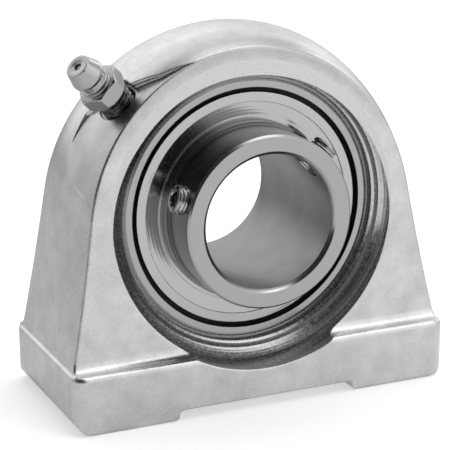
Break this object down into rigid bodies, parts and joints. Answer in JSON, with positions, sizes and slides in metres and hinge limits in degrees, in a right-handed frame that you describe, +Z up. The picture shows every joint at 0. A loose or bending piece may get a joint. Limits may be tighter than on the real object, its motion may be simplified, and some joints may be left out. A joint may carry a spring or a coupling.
{
  "type": "pillow block bearing",
  "caption": "Tapped-base pillow block: an arched cast housing holds a self-aligning insert ball bearing with set screws and a grease nipple.",
  "frame": {"origin": "on the base plane, midway between the two tapped holes, straight under the seat centre", "axes": "+X along the base, +Z up, shaft along Y with the set-screw end towards -Y"},
  "size_m": [0.09, 0.0427, 0.0829],
  "materials": {
    "cast_stainless": "polished investment casting, satin",
    "ground_steel": "ground and finely turned",
    "bearing_balls": "lapped",
    "pressed_steel": "pressed sheet, bright",
    "seal_rubber": "moulded",
    "screw_steel": "turned",
    "nipple_steel": "turned, bright plated"
  },
  "bodies": {
    "housing": {"housing": "cast_stainless", "nipple_body": "nipple_steel", "nipple_spring": "nipple_steel"},
    "outer_ring": {"outer_ring": "ground_steel", "seal_front": "seal_rubber", "seal_rear": "seal_rubber"},
    "inner_ring": {"inner_ring": "ground_steel", "slinger_front": "pressed_steel", "slinger_rear": "pressed_steel"},
    "cage": {"cage_front": "pressed_steel", "cage_rear": "pressed_steel", "cage_rivets": "pressed_steel"},
    "ball_1": {"ball_1": "bearing_balls"},
    "ball_2": {"ball_2": "bearing_balls"},
    "ball_3": {"ball_3": "bearing_balls"},
    "ball_4": {"ball_4": "bearing_balls"},
    "ball_5": {"ball_5": "bearing_balls"},
    "ball_6": {"ball_6": "bearing_balls"},
    "ball_7": {"ball_7": "bearing_balls"},
    "ball_8": {"ball_8": "bearing_balls"},
    "ball_9": {"ball_9": "bearing_balls"},
    "set_screw_1": {"set_screw_1": "screw_steel"},
    "set_screw_2": {"set_screw_2": "screw_steel"},
    "nipple_ball": {"nipple_ball": "nipple_steel"}
  },
  "joints": [
    {"name": "insert_swivel", "type": "hinge", "parent": "housing", "child": "outer_ring", "pos_m": [0, 0, 0.0429], "axis": [1, 0, 0], "range_deg": [-2, 2]},
    {"name": "shaft_spin", "type": "hinge", "parent": "outer_ring", "child": "inner_ring", "pos_m": [0, 0, 0.0429], "axis": [0, 1, 0], "continuous": true},
    {"name": "cage_spin", "type": "hinge", "parent": "outer_ring", "child": "cage", "pos_m": [0, 0, 0.0429], "axis": [0, 1, 0], "continuous": true},
    {"name": "ball_1_spin", "type": "hinge", "parent": "cage", "child": "ball_1", "pos_m": [0, 0, 0.0659], "axis": [0, 1, 0], "continuous": true},
    {"name": "ball_2_spin", "type": "hinge", "parent": "cage", "child": "ball_2", "pos_m": [-0.01478, 0, 0.06052], "axis": [0, 1, 0], "continuous": true},
    {"name": "ball_3_spin", "type": "hinge", "parent": "cage", "child": "ball_3", "pos_m": [-0.02265, 0, 0.04689], "axis": [0, 1, 0], "continuous": true},
    {"name": "ball_4_spin", "type": "hinge", "parent": "cage", "child": "ball_4", "pos_m": [-0.01992, 0, 0.0314], "axis": [0, 1, 0], "continuous": true},
    {"name": "ball_5_spin", "type": "hinge", "parent": "cage", "child": "ball_5", "pos_m": [-0.00787, 0, 0.02129], "axis": [0, 1, 0], "continuous": true},
    {"name": "ball_6_spin", "type": "hinge", "parent": "cage", "child": "ball_6", "pos_m": [0.00787, 0, 0.02129], "axis": [0, 1, 0], "continuous": true},
    {"name": "ball_7_spin", "type": "hinge", "parent": "cage", "child": "ball_7", "pos_m": [0.01992, 0, 0.0314], "axis": [0, 1, 0], "continuous": true},
    {"name": "ball_8_spin", "type": "hinge", "parent": "cage", "child": "ball_8", "pos_m": [0.02265, 0, 0.04689], "axis": [0, 1, 0], "continuous": true},
    {"name": "ball_9_spin", "type": "hinge", "parent": "cage", "child": "ball_9", "pos_m": [0.01478, 0, 0.06052], "axis": [0, 1, 0], "continuous": true},
    {"name": "set_screw_1_travel", "type": "slide", "parent": "inner_ring", "child": "set_screw_1", "axis": [-0.9511, 0, 0.309], "range_m": [-0.0021, 0.002]},
    {"name": "set_screw_2_travel", "type": "slide", "parent": "inner_ring", "child": "set_screw_2", "axis": [0.7431, 0, 0.6691], "range_m": [-0.0021, 0.002]},
    {"name": "nipple_ball_travel", "type": "slide", "parent": "housing", "child": "nipple_ball", "axis": [0.7119, 0.2419, -0.6593], "range_m": [0, 0.0008], "stiffness_N_per_m": 300, "springref_m": -0.001, "deforming": ["nipple_spring"]}
  ],
  "couplings": [
    {"joint": "cage_spin", "follows": "shaft_spin", "ratio": 0.39647},
    {"joint": "ball_1_spin", "follows": "shaft_spin", "ratio": -2.3112},
    {"joint": "ball_2_spin", "follows": "shaft_spin", "ratio": -2.3112},
    {"joint": "ball_3_spin", "follows": "shaft_spin", "ratio": -2.3112},
    {"joint": "ball_4_spin", "follows": "shaft_spin", "ratio": -2.3112},
    {"joint": "ball_5_spin", "follows": "shaft_spin", "ratio": -2.3112},
    {"joint": "ball_6_spin", "follows": "shaft_spin", "ratio": -2.3112},
    {"joint": "ball_7_spin", "follows": "shaft_spin", "ratio": -2.3112},
    {"joint": "ball_8_spin", "follows": "shaft_spin", "ratio": -2.3112},
    {"joint": "ball_9_spin", "follows": "shaft_spin", "ratio": -2.3112}
  ]
}
